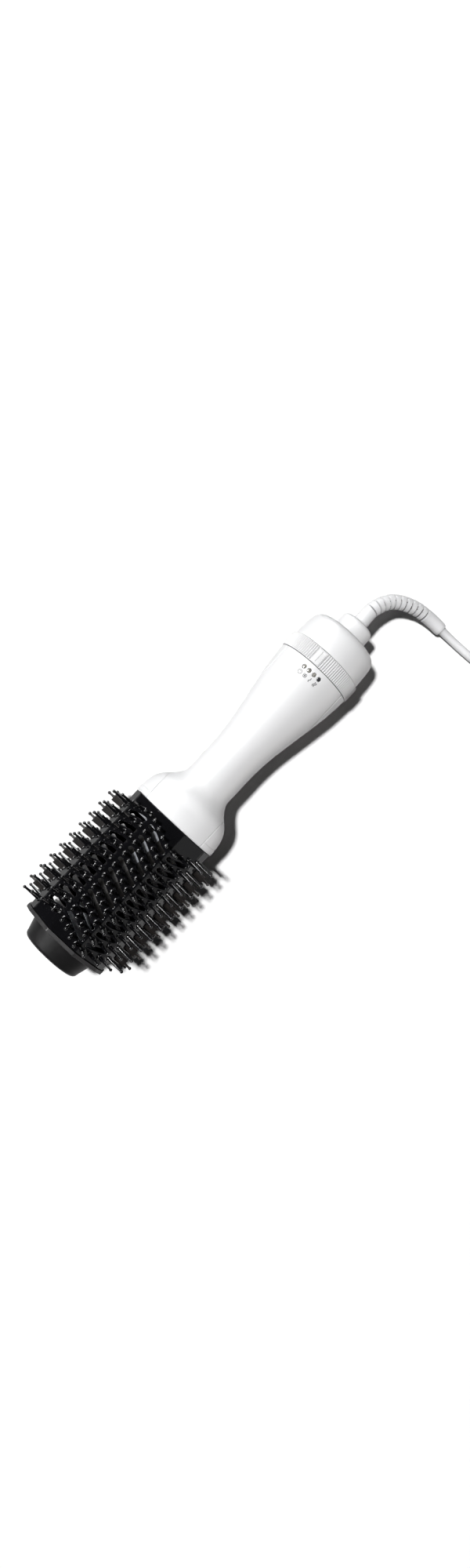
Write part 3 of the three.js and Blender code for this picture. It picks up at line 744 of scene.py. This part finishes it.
# ---- barrel
BARREL_X = (-155.9, -36.0)
HEAD_HALF_WIDTH, HEAD_HALF_DEPTH = 37.5, 25.0
FACE_HALF, SEAM_Y, SEAM_Z = 13.4, 33.0, 11.5
SHELL_WALL = 2.0
SLOPE = (HEAD_HALF_DEPTH - SEAM_Z) / (SEAM_Y - FACE_HALF)
SOFT = 0.001  # half width of the ridge between two faces
ROWS, ROW_PITCH, LAST_ROW_X = 10, 11.03, -47.5
WAVE, WAVE_HALF_LENGTH = 4.8, 32.0
SLOT_HALF = 1.7
PIN_Y = (3.2, 9.7, 16.1, 22.6, 29.0)
PIN_LEAN = 75.0  # degrees, next to the seam between the shells
BALL_RADIUS = 1.3
SLOT_BANDS = ((-31.0, -14.8), (-12.1, 12.1), (14.8, 31.0))


def row_x(row):
    return LAST_ROW_X - (ROWS - 1 - row) * ROW_PITCH


def cell_x(cell):
    """The middle of the gap between two rows of pins."""
    return row_x(cell) + ROW_PITCH / 2


def wave_x(y):
    return WAVE * np.sin(np.pi * y / WAVE_HALF_LENGTH)


def face_height(y):
    over = np.clip((np.abs(y) - FACE_HALF + SOFT) / (2 * SOFT), 0, 1)
    past = np.maximum(0, np.abs(y) - FACE_HALF - SOFT)
    return HEAD_HALF_DEPTH - SLOPE * (SOFT * over * over + past)


def barrel_surface(x, y, depth):
    over = np.clip((np.abs(y) - FACE_HALF + SOFT) / (2 * SOFT), 0, 1)
    lean = np.arctan(SLOPE * over) * np.sign(y)
    return np.stack([x, y - depth * np.sin(lean), face_height(y) - depth * np.cos(lean)], 1)


def wavy_slot(centre, y0, y1):
    """The outline of one air slot that follows the wave, with round ends."""
    half = SLOT_HALF + EDGE_OUT
    ys = np.linspace(y0 + half, y1 - half, 15)
    middle = np.stack([centre + wave_x(ys), ys], 1)
    way = units(np.gradient(middle, axis=0))
    side = np.stack([-way[:, 1], way[:, 0]], 1) * half
    tip, tail = [], []
    for k in range(1, 8):
        a = pi * k / 8
        tip.append(middle[-1] + side[-1] * cos(a) + way[-1] * half * sin(a))
        tail.append(middle[0] - side[0] * cos(a) - way[0] * half * sin(a))
    return np.concatenate([middle + side, tip, (middle - side)[::-1], tail])


def pin(stem, ball_at):
    """A pin along X: the profile of its stem, then a ball."""
    ball = [(ball_at + BALL_RADIUS * cos(a), BALL_RADIUS * sin(a))
            for a in np.radians([140, 120, 98, 75, 52, 28])]
    return revolve([*stem, *ball, (ball_at + BALL_RADIUS, 0)], 12)


PIN = pin([(-1, 0), (-1, 2.35), (0.1, 2.35), (0.4, 2.25), (0.62, 1.95), (0.7, 1.62), (4, 1.42),
           (13.35, 0.84)], 14.4)
LONG_PIN = pin([(0.3, 0), (0.3, 1.7), (0.9, 1.55), (13.7, 0.86)], 14.7)


def add_pin(shape, foot, lean, side=1.0):
    lean = radians(lean)
    shape.add(PIN, aim((0, sin(lean) * side, cos(lean))), foot)


def barrel_shape():
    x0, x1 = BARREL_X[0] + EDGE_OUT, BARREL_X[1] - EDGE_OUT
    y1 = SEAM_Y - EDGE_OUT
    outline = border(np.linspace(x0, x1, 40), np.linspace(-y1, y1, 31))
    holes = [wavy_slot(cell_x(cell), *band) for cell in range(ROWS - 1) for band in SLOT_BANDS]
    lines = [[(x, side * FACE_HALF) for x in np.linspace(x0 + 0.4, x1 - 0.4, 60)]
             for side in (-1, 1)]
    grid = lattice(np.linspace(x0 + 1, x1 - 1, 60), np.linspace(-y1 + 1, y1 - 1, 25))
    near_ridge = np.abs(np.abs(grid[:, 1]) - FACE_HALF) < 0.4
    shape = Shape().add(plate(outline, holes, grid[~near_ridge], barrel_surface, SHELL_WALL, lines,
                              0.35))
    for row in range(ROWS):
        for y in PIN_Y:
            slope = max(0.0, (y - FACE_HALF) / (SEAM_Y - FACE_HALF))
            for side in (-1, 1):
                foot = (row_x(row) + float(wave_x(side * y)), side * y, float(face_height(y)))
                add_pin(shape, foot, PIN_LEAN * slope**0.8, side)
    return shape


barrel = barrel_shape()
turned_over = Shape().add((barrel.all_points() * [1, -1, -1], barrel.faces))
for word, shape in (("front", barrel), ("back", turned_over)):
    piece(f"barrel_shell_{word}", shape, GLOSS_BLACK, "gloss_black", f"barrel_{word}_shell",
          sharp=33)

# ---- bristle strips
STRIP = [(33.17, 11.25), (37.5, 5.0), (37.5, -5.0), (33.17, -11.25), (32.0, -9.6), (35.5, -4.4),
         (35.5, 4.4), (32.0, 9.6)]
EDGE_PIN_Y, EDGE_PIN_Z, EDGE_PIN_LEAN = 35.4, 8, 72
SOCKET = revolve([(-0.6, 0), (-0.6, 3.5), (0.45, 3.5), (0.8, 3.25), (0.85, 0)], 28)
SOCKET_FLATNESS = 0.82
TUFT_FOOT_Y, TUFT_REACH = 37.2, 10.3
TUFT_FOOT, TUFT_TIP = (2.35, 1.9), (2.95, 2.5)  # half widths along X and Z
FILAMENT_ROWS, FILAMENT_COLUMNS, FILAMENT_SIDES = 11, 8, 5


def strip_shape(side):
    """A side strip with the sockets of its tufts and two rows of pins."""
    outline = np.array(rounded(STRIP, 0.35, 3))
    middle = outline.mean(0)
    bevel, rings = 0.25, []
    small = 1 - bevel / 12
    for x, scale in ((BARREL_X[0], small), (BARREL_X[0] + bevel, 1), (BARREL_X[1] - bevel, 1),
                     (BARREL_X[1], small)):
        ring = middle + (outline - middle) * scale
        rings.append(np.stack([np.full(len(ring), x), side * ring[:, 0], ring[:, 1]], 1))
    shape = Shape().add(sections(rings))
    oval = np.diag([1, 1, SOCKET_FLATNESS]) @ aim((0, side, 0))
    for cell in range(ROWS - 1):
        shape.add(SOCKET, oval, (cell_x(cell), side * HEAD_HALF_WIDTH, 0))
    for row in range(ROWS):
        x = row_x(row) + float(wave_x(side * EDGE_PIN_Y))
        for up in (1, -1):
            foot = (x, side * EDGE_PIN_Y, up * EDGE_PIN_Z)
            add_pin(shape, foot, 90 - up * (90 - EDGE_PIN_LEAN), side)
    return shape


def add_filament(shape, draw, x, side, u, v):
    """One filament, at a share of the tuft's width and height."""
    foot = np.array([x + TUFT_FOOT[0] * u, side * TUFT_FOOT_Y, TUFT_FOOT[1] * v])
    reach = TUFT_REACH + 0.3 - draw.random() * 0.9
    stray = 0.16
    tip = np.array([x + TUFT_TIP[0] * u + draw.uniform(-stray, stray), side * (TUFT_FOOT_Y + reach),
                    TUFT_TIP[1] * v + draw.uniform(-stray, stray)])
    thick = draw.uniform(0.17, 0.23)
    middle = (foot + tip) / 2 + [draw.uniform(-0.1, 0.1), 0, draw.uniform(-0.1, 0.1)]
    a = np.arange(FILAMENT_SIDES) * 2 * pi / FILAMENT_SIDES
    ring = np.stack([np.cos(a), np.zeros(FILAMENT_SIDES), np.sin(a)], 1) * thick
    shape.add(sections([foot + ring, middle + ring, tip + ring * 0.8]))


def tuft_shape(side, seed):
    """Flat-ended bundles of filaments, each with a long ball-tipped pin out of the middle."""
    draw = random.Random(seed)
    shape = Shape()
    for cell in range(ROWS - 1):
        x = cell_x(cell)
        for i in range(FILAMENT_ROWS):
            for k in range(FILAMENT_COLUMNS):
                u = (i - 5 + 0.5 * (k % 2) - 0.25) / 5.2
                v = (k - 3.5) / 3.9
                if u * u + v * v <= 1.08:
                    add_filament(shape, draw, x, side, u, v)
        shape.add(LONG_PIN, aim((0, side, 0)), (x, side * HEAD_HALF_WIDTH, 0))
    return shape


for side, word, seed in ((1, "left", 11), (-1, "right", 23)):
    piece(f"strip_{word}", strip_shape(side), GLOSS_BLACK, "gloss_black", f"bristle_strip_{word}")
    piece(f"tufts_{word}", tuft_shape(side, seed), TUFT, "tuft", sharp=60)

# ---- nose
FLANGE_X, FLANGE_WALL = -159.4, 3.2
FLANGE_WIDER, FLANGE_DEEPER = 1.022, 1.018  # against the barrel
NOSE_FLATNESS = 0.62
NOSE = [(-176.3, 0), (-176.3, 20.6), (-176.2, 22), (-175.9, 23.2), (-175.3, 24.3), (-174.5, 25.1),
        (-173.4, 25.7), (-171, 26.2), (-163, 28.55), (-160.3, 29.35), (-159.8, 29.35),
        (-159.6, 29.1), (-159.6, 0)]
HEAD_CORNERS = [(SEAM_Y, SEAM_Z), (FACE_HALF, HEAD_HALF_DEPTH), (-FACE_HALF, HEAD_HALF_DEPTH),
                (-SEAM_Y, SEAM_Z), (-HEAD_HALF_WIDTH, 5), (-HEAD_HALF_WIDTH, -5)]
FLANGE = rounded([(half * y * FLANGE_WIDER, half * z * FLANGE_DEEPER)
                  for half in (1, -1) for y, z in HEAD_CORNERS], 2.5, 5)


def flange_surface(y, z, depth):
    return np.stack([FLANGE_X + depth, y, z], 1)


piece("nose_flange_plate", Shape().add(plate(FLANGE, [], [(0, 0)], flange_surface, FLANGE_WALL)),
      RIM_BLACK, "satin_black", "nose_flange")
piece("nose_end_cap", Shape().add(revolve(NOSE, 96), np.diag([1, 1, NOSE_FLATNESS])),
      SATIN_BLACK, "satin_black", "nose_cap", sharp=50)

# ---- handle
MOUTH_X, HANDLE_END_X = -35.4, 123.2
HANDLE_WIDTHS = [(MOUTH_X, 38.6), (-27, 37.9), (-19, 36), (-12.5, 31.9), (-6, 25.4), (1, 21),
                 (9, 20.3), (31, 20.4), (50, 21.8), (68, 24.7), (86, 27.9), (104, 30.8),
                 (HANDLE_END_X, 32.5)]
MOUTH_FLATNESS = 27.4 / 38.6
SQUEEZE_X = (-22.0, 6.0)
PANEL_HALF = 28.05
SEAM_HALF = 0.36
handle_width = spline(HANDLE_WIDTHS)
LED_X, ICON_X = 117.7, 112.6
LED_ANGLES = {"power": -13.4, "cool": -4.45, "low": 4.45, "high": 13.4}
LED_RADIUS = 1.6
SCREW_X, SCREW_Y, WELL_RADIUS = -18.0, 21.0, 3.2
SHEET_HALF = 30.0  # half width of the flat sheets that the shells are bent from
MOUTH_LINE_X, BACK_LINE_X = -34.5, -30.4
LINE_WIDTH, LINE_DEPTH = 0.3, 0.4


def handle_point(x, angle, depth, lines):
    """Round the handle at an angle from the front, with fine moulded lines across it."""
    radius = handle_width(x) - depth
    for at in lines:
        radius = radius - LINE_DEPTH * np.exp(-((x - at) / LINE_WIDTH)**2)
    flat = MOUTH_FLATNESS + (1 - MOUTH_FLATNESS) * ease(
        (x - SQUEEZE_X[0]) / (SQUEEZE_X[1] - SQUEEZE_X[0]))
    return np.stack([x, radius * np.sin(angle), radius * flat * np.cos(angle)], 1)


def seam_angle(x):
    """Where the front shell ends: at the panel's edges on the shoulders, then at the sides."""
    return np.arcsin(np.clip(PANEL_HALF / handle_width(x), 0, 0.99999))


def front_reach(x):
    """The angle from the middle of the front to the shell's edge."""
    return seam_angle(x) - SEAM_HALF / handle_width(x)


def back_reach(x):
    return pi - seam_angle(x) - SEAM_HALF / handle_width(x)


def front_surface(x, v, depth):
    return handle_point(x, v / SHEET_HALF * front_reach(x), depth, [MOUTH_LINE_X])


def back_surface(x, v, depth):
    angle = pi + v / SHEET_HALF * back_reach(x)
    return handle_point(x, angle, depth, [MOUTH_LINE_X, BACK_LINE_X])


def shell_shape(across, holes, surface):
    """A handle shell, with closer points at its moulded lines and on its shoulders."""
    x0, x1 = MOUTH_X + EDGE_OUT, HANDLE_END_X - EDGE_OUT
    xs = np.concatenate([[x0], np.arange(-35.0, -33.6, 0.12), np.arange(-33.4, -31.4, 1.0),
                         np.arange(-31.0, -29.7, 0.12), np.arange(-29.4, 8, 0.9),
                         np.arange(8.5, x1 - 1, 2.2), [x1]])
    half = SHEET_HALF - EDGE_OUT
    vs = np.linspace(-half, half, across)
    return Shape().add(plate(border(xs, vs), holes, lattice(xs[1:-1], vs[1:-1]), surface,
                             SHELL_WALL, margin=0.3))


def sheet_circle(middle_x, radius, turn_of, reach):
    """A round hole on a shell's sheet. turn_of takes the distance across and the width."""
    made = []
    for a in np.arange(28) * 2 * pi / 28:
        x = middle_x + radius * cos(a)
        turn = turn_of(radius * sin(a), handle_width(x))
        made.append((float(x), float(turn / reach(x) * SHEET_HALF)))
    return made


def lens_hole(degrees):
    return sheet_circle(LED_X, LED_RADIUS + 0.12 + EDGE_OUT,
                        lambda across, width: across / width - radians(degrees), front_reach)


def screw_hole(y):
    return sheet_circle(SCREW_X, WELL_RADIUS + EDGE_OUT,
                        lambda across, width: -np.arcsin((y + across) / width), back_reach)


def cross_recess(y):
    """The tool that cuts the cross into a screw's head."""
    long, short = 2.0, 0.42
    arm = [(long, -short), (long, short), (short, short)]
    corners = [(a * c - b * s, a * s + b * c) for c, s in ((1, 0), (0, 1), (-1, 0), (0, -1))
               for a, b in arm]
    return Shape().add(sections([[(SCREW_X + a, y + b, z) for a, b in corners]
                                 for z in (-19, -16.6)]))


DOWN = np.array([[0, 0, 1], [0, 1, 0], [-1, 0, 0]])  # takes +X to -Z
WELL = revolve([(12, WELL_RADIUS), (22, WELL_RADIUS), (22, 4.1), (12, 4.1)], 32, closed=True)
SCREW = revolve([(-13, 0), (-13, 1.6), (15.4, 1.6), (15.8, 2.9), (16.6, 2.9), (17.2, 2.6),
                 (17.6, 2.0), (17.8, 0)], 40)
SCREW_YS = {"left": SCREW_Y, "right": -SCREW_Y}

lens_holes = [lens_hole(degrees) for degrees in LED_ANGLES.values()]
piece("handle_front", shell_shape(41, lens_holes, front_surface), WHITE, "white_shell",
      "handle_front_shell", sharp=45)
back = shell_shape(61, [screw_hole(y) for y in SCREW_YS.values()], back_surface)
for y in SCREW_YS.values():
    back.add(WELL, DOWN, (SCREW_X, y, 0))
piece("handle_back", back, WHITE, "white_shell", "handle_back_shell", sharp=45)
for word, y in SCREW_YS.items():
    piece(f"screw_{word}", Shape().add(SCREW, DOWN, (SCREW_X, y, 0)), STEEL, "steel",
          f"handle_screw_{word}", tools=cross_recess(y))


def around(x, radius, degrees):
    a = radians(degrees)
    return (x, -radius * sin(a), radius * cos(a))


LED_LENS = revolve([(-4.2, 0), (-4.2, 1.58), (-0.35, 1.58), (-0.12, 1.5), (0.02, 1.2),
                    (0.06, 0.6), (0.07, 0)], 32)
LED_TOP = float(handle_width(LED_X)) - 0.25
for word, angle in LED_ANGLES.items():
    lens = Shape().add(LED_LENS, aim(around(0, 1, angle)), around(LED_X, LED_TOP, angle))
    piece(f"lens_{word}", lens, LENS if word == "high" else LENS_PALE, "clear_lens",
          f"indicator_lens_{word}", sharp=60)

PRINT_LIFT, PRINT_SINK = 0.05, 0.1
STROKE_HALF, THIN_HALF = 0.26, 0.18


def stroke(points, degrees, half):
    """A printed line on the handle's surface, through [along, across] points."""
    line = np.asarray(points, float)
    way = units(np.gradient(line, axis=0))
    side = np.stack([-way[:, 1], way[:, 0]], 1) * half
    rings = []
    for p, s in zip(line, side):
        ring = []
        for (u, v), lift in ((p + s, PRINT_LIFT), (p - s, PRINT_LIFT), (p - s, -PRINT_SINK),
                             (p + s, -PRINT_SINK)):
            x = ICON_X + u
            width = float(handle_width(x))
            ring.append(around(x, width + lift, degrees + to_degrees(v / width)))
        rings.append(ring)
    return sections(rings)


def wave_line(across):
    t = np.linspace(-1, 1, 18)
    return np.stack([1.75 * t, across + 0.5 * np.sin(t * pi)], 1)


ICONS = {
    "power": [arc(0, 0, 1.65, 0, 359), [(-0.1, 0), (0.9, 0)]],
    "cool": [arc(0.86 * cos(a), 0.86 * sin(a), 0.78, to_degrees(a) - 170,
                 to_degrees(a) + 170, 16) for a in np.radians([45, 135, 225, 315])],
    "low": [wave_line(0)],
    "high": [wave_line(-0.62), wave_line(0.62)],
}
for word, lines in ICONS.items():
    icon = Shape()
    for line in lines:
        icon.add(stroke(line, LED_ANGLES[word], THIN_HALF if word == "cool" else STROKE_HALF))
    piece(f"icon_{word}", icon, PRINT, "clear_lens", sharp=50)

# ---- switch ring
RING_X = (123.6, 136.6)
RING_RADIUS, SLEEVE_RADIUS = 33.3, 29.3
RIBS, RIB_STEPS, RIB_DEPTH = 110, 8, 1.2
TAB = (-14.1, -0.3)  # degrees, the smooth part of the ring
GROOVE_DEPTH, TAB_SINK = 0.6, 0.02
POINTER_ANGLE, POINTER_HALF, HOOK = -6.9, 4.75, 1.3


def ring_depth(x, degrees):
    """How deep the ring's surface lies under its full radius."""
    if TAB[0] <= degrees <= TAB[1]:
        across = (degrees - POINTER_ANGLE) * radians(RING_RADIUS)
        along = x - RING_MIDDLE
        on_pointer = abs(across) < 0.4 and abs(along) < POINTER_HALF
        on_hook = 0 <= across < HOOK and abs(along - POINTER_HALF + 0.4) < 0.45
        at_side = min(degrees - TAB[0], TAB[1] - degrees) < 0.45
        at_back = abs(x - RING_X[1] + 1.1) < 0.25
        return GROOVE_DEPTH if on_pointer or on_hook or at_side or at_back else TAB_SINK
    phase = (degrees - TAB[1]) / 360 * RIBS
    return RIB_DEPTH * (0.5 - 0.5 * cos(2 * pi * phase))**1.4


def ring_shape():
    start, end = RING_X
    xs = np.concatenate([start + np.array([0, 0.12, 0.35, 0.8]),
                         np.arange(start + 1.3, end - 1.5, 0.42),
                         end - np.array([1.36, 1.34, 0.86, 0.84, 0.6, 0.3, 0.1, 0])])
    inner = SLEEVE_RADIUS + 0.4
    rounding = 0.85
    rings = []
    for i in range(RIBS * RIB_STEPS):
        degrees = TAB[1] + 360 * i / (RIBS * RIB_STEPS)
        degrees = degrees - 360 if degrees > 180 else degrees
        ring = [around(start, inner, degrees)]
        for x in xs:
            edge = min(x - start, end - x)
            corner = 0.8 * (1 - min(1, edge / rounding))**2
            radius = RING_RADIUS - corner - ring_depth(x, degrees) * ease(edge / 0.7)
            ring.append(around(x, radius, degrees))
        ring.append(around(end, inner, degrees))
        rings.append(ring)
    return sections(rings, closed=True)


piece("ring_ribbed", Shape().add(ring_shape()), WHITE_RING, "white_ring", "switch_ring",
      body="switch_ring", sharp=55)

# ---- end cap, collar and hub
END_CAP = [(137, 29.7), (137, 31.0), (137.15, 31.35), (137.5, 31.55), (141, 31.5), (147, 31.2),
           (152, 30.8), (154.6, 30.4), (156.8, 29.8), (158.6, 28.9), (160.1, 27.6), (161.2, 26.0),
           (161.8, 24.4), (162, 22.6), (162, 8.05), (161.8, 7.85), (160, 7.85), (160, 24),
           (158.6, 26.6), (154, 28.4), (147, 29.7)]
INLETS, INLET_RADII, INLET_HALF, INLET_X = 12, (15.6, 21.6), 1.2, (158.9, 163)


def inlet_tools():
    """Radial slots with round ends, all round the flat back."""
    near, far = INLET_RADII
    outline = rounded_box((near, -INLET_HALF), (far, INLET_HALF), 1.15, 4)
    tools = Shape()
    for i in range(INLETS):
        a = 2 * pi * (i + 0.5) / INLETS
        c, s = cos(a), sin(a)
        tools.add(sections([[(x, r * c - t * s, r * s + t * c) for r, t in outline]
                            for x in INLET_X]))
    return tools


piece("end_cap", Shape().add(revolve(END_CAP, 120, closed=True)), WHITE, "white_shell",
      "rear_end_cap", tools=inlet_tools(), sharp=32)
COLLAR = [(152, 5.3), (152, 7.6), (162.1, 7.6), (162.3, 13.9), (162.7, 14.3), (172.6, 14.2),
          (174.1, 13.8), (175.3, 13.0), (176.1, 11.8), (176.3, 10.4), (176.3, 6.7), (176.1, 6.5),
          (174.3, 6.5), (174.3, 10.4), (164.3, 10.4), (164.3, 5.3)]
piece("collar", Shape().add(revolve(COLLAR, 72, closed=True)), WHITE, "white_shell",
      "swivel_collar")
HUB = [(156, 0), (156, 4.6), (165.2, 4.6), (165.2, 9.6), (173.7, 9.6), (173.7, 6.0), (177.2, 6.0),
       (177.4, 5.8), (177.4, 0)]
piece("hub", Shape().add(revolve(HUB, 56)), CORD_WHITE, "inner_plastic", "swivel_hub",
      body="cord_swivel")


# ---- stage and light
def make_floor():
    finish = material("floor", (0.97, 0.97, 0.97), 0.8, vary=0.004, mottle=3, grain=250, bump=0.02)
    half = 6.0
    mesh = bpy.data.meshes.new("floor")
    mesh.from_pydata([(-half, -half, 0), (half, -half, 0), (half, half, 0), (-half, half, 0)], [],
                     [(0, 1, 2, 3)])
    mesh.materials.append(finish)
    floor = add_object("floor", mesh)
    floor.visible_diffuse = False
    return floor


def lamp(name, kind, way, power, **settings):
    """A light in a direction from the object, pointing back at it."""
    data = bpy.data.lights.new(name, kind)
    data.energy = power
    for key, value in settings.items():
        setattr(data, key, value)
    light = add_object(name, data)
    light.location = Vector(way)
    light.rotation_mode = "QUATERNION"
    light.rotation_quaternion = Vector(way).to_track_quat("Z", "Y")
    return light


def make_world(light, seen):
    """A dim surround for the light, that looks pale where the camera sees it."""
    world = bpy.data.worlds.new("surround")
    world.use_nodes = True
    tree = world.node_tree
    tree.nodes["Background"].inputs["Color"].default_value = (light, light, light * 1.03, 1)
    pale = node(tree, "ShaderNodeBackground", {"Color": (seen, seen, seen, 1)})
    ray = node(tree, "ShaderNodeLightPath").outputs["Is Camera Ray"]
    mixed = node(tree, "ShaderNodeMixShader", {0: ray, 1: tree.nodes["Background"].outputs[0],
                                               2: pale.outputs[0]})
    tree.links.new(mixed.outputs[0], tree.nodes["World Output"].inputs["Surface"])
    bpy.context.scene.world = world


def soft_lamp(name, way, power, size, size_y, **settings):
    return lamp(name, "AREA", way, power, shape="RECTANGLE", size=size, size_y=size_y, **settings)


def make_lights(floor):
    """A sun that throws the shadow, soft lights that leave the floor to it, and glints."""
    sun = lamp("key", "SUN", (-0.04, 0.25, 0.967), 3.47, angle=radians(5))
    side_fill = soft_lamp("side_fill", (0.0, -1.1, 0.1), 2.8, 1.2, 0.12, color=(1, 0.95, 0.92))
    side_soft = soft_lamp("side_soft", (0.0, -1.0, 0.6), 1.5, 1.2, 0.5)
    window = soft_lamp("window", (-0.05, 1.25, 0.7), 14.4, 0.9, 0.35)
    glints = [soft_lamp("glint_high", (-0.1, 0.55, 0.95), 26.0, 0.8, 0.2),
              soft_lamp("glint_low", (0.9, 0.85, 0.4), 16.0, 0.5, 0.35),
              soft_lamp("glint_side", (0.0, -1.1, 0.42), 0.6, 1.2, 0.4)]
    for light in glints:
        light.visible_diffuse = False
    for light in (sun, window, side_soft):
        light.visible_glossy = False
    unlit = bpy.data.collections.new("left_to_the_sun")
    unlit.objects.link(floor)
    for light in (window, side_fill, side_soft):
        light.light_linking.receiver_collection = unlit
    unlit.collection_objects[0].light_linking.link_state = "EXCLUDE"


make_world(0.01, 0.95)
make_lights(make_floor())
bpy.context.scene.view_settings.view_transform = "Standard"
